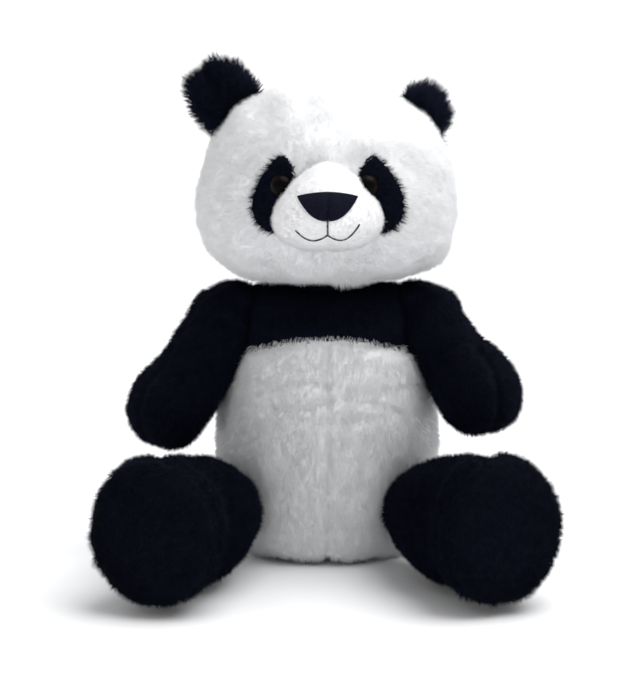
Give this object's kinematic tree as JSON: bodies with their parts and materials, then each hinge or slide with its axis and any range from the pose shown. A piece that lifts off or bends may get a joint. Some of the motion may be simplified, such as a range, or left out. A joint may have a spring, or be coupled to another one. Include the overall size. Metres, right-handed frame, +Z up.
{
  "type": "plush panda",
  "caption": "Seated plush panda with a round white head and belly, dark limbs, ears and eye patches, and soft sewn joints.",
  "frame": {"origin": "centre of the flat seat, on the surface the toy sits on", "axes": "+Z up, -Y the way the face looks, +X the viewer's right when facing the toy"},
  "size_m": [0.2586, 0.2347, 0.2924],
  "materials": {
    "white_fur": "matte",
    "white_velour": "matte",
    "stuffing": "matte",
    "pouch_cloth": "matte",
    "white_thread": "matte",
    "black_thread": "matte",
    "ribbon": "satin",
    "nose_cloth": "satin",
    "eye_plastic": "gloss",
    "washer_plastic": "matte",
    "black_fur": "matte"
  },
  "bodies": {
    "torso": {"belly_left": "white_fur", "belly_right": "white_fur", "back_left": "white_fur", "back_right": "white_fur", "yoke_front": "black_fur", "yoke_back": "black_fur", "seat_panel": "white_fur", "torso_stuffing": "stuffing", "pellet_pouch": "pouch_cloth", "tail": "white_fur", "closing_stitches": "white_thread", "care_label": "ribbon"},
    "neck": {"neck_stuffing": "stuffing"},
    "head": {"chin_left": "white_fur", "chin_right": "white_fur", "forehead": "white_fur", "cheek_left": "white_fur", "cheek_right": "white_fur", "head_back": "white_fur", "head_stuffing": "stuffing", "muzzle_skin": "white_velour", "muzzle_stuffing": "stuffing", "nose": "nose_cloth", "mouth_stitches": "black_thread", "eye_patch_left": "black_fur", "eye_patch_right": "black_fur", "eye_left": "eye_plastic", "eye_right": "eye_plastic", "eye_washer_left": "washer_plastic", "eye_washer_right": "washer_plastic"},
    "ear_left": {"ear_left_front": "black_fur", "ear_left_back": "black_fur"},
    "ear_right": {"ear_right_front": "black_fur", "ear_right_back": "black_fur"},
    "arm_left": {"arm_left_front": "black_fur", "arm_left_back": "black_fur", "arm_left_stuffing": "stuffing"},
    "arm_right": {"arm_right_front": "black_fur", "arm_right_back": "black_fur", "arm_right_stuffing": "stuffing"},
    "leg_left": {"leg_left_inner": "black_fur", "leg_left_outer": "black_fur", "leg_left_sole": "black_fur", "leg_left_stuffing": "stuffing"},
    "leg_right": {"leg_right_inner": "black_fur", "leg_right_outer": "black_fur", "leg_right_sole": "black_fur", "leg_right_stuffing": "stuffing"}
  },
  "joints": [
    {"name": "neck_turn", "type": "hinge", "parent": "torso", "child": "neck", "pos_m": [0, 0, 0.162], "axis": [0, 0, 1], "range_deg": [-25, 25], "stiffness_Nm_per_rad": 0.3},
    {"name": "head_nod", "type": "hinge", "parent": "neck", "child": "head", "pos_m": [0, 0, 0.162], "axis": [1, 0, 0], "range_deg": [-10, 10], "stiffness_Nm_per_rad": 0.8},
    {"name": "ear_left_flop", "type": "hinge", "parent": "head", "child": "ear_left", "pos_m": [-0.047, 0.001, 0.255], "axis": [0.7154, -0.1045, 0.6909], "range_deg": [-16, 16], "stiffness_Nm_per_rad": 0.03},
    {"name": "ear_right_flop", "type": "hinge", "parent": "head", "child": "ear_right", "pos_m": [0.043, 0, 0.241], "axis": [0.6528, 0.342, -0.676], "range_deg": [-10, 10], "stiffness_Nm_per_rad": 0.03},
    {"name": "arm_left_raise", "type": "hinge", "parent": "torso", "child": "arm_left", "pos_m": [-0.054, -0.003, 0.143], "axis": [0, 1, 0], "range_deg": [0, 28], "stiffness_Nm_per_rad": 0.12},
    {"name": "arm_right_raise", "type": "hinge", "parent": "torso", "child": "arm_right", "pos_m": [0.054, -0.003, 0.143], "axis": [0, -1, 0], "range_deg": [0, 28], "stiffness_Nm_per_rad": 0.12},
    {"name": "leg_left_hang", "type": "hinge", "parent": "torso", "child": "leg_left", "pos_m": [-0.06, -0.04, 0.034], "axis": [1, 0, 0], "range_deg": [0, 40], "stiffness_Nm_per_rad": 0.25},
    {"name": "leg_right_hang", "type": "hinge", "parent": "torso", "child": "leg_right", "pos_m": [0.054, -0.04, 0.034], "axis": [1, 0, 0], "range_deg": [0, 40], "stiffness_Nm_per_rad": 0.25}
  ]
}
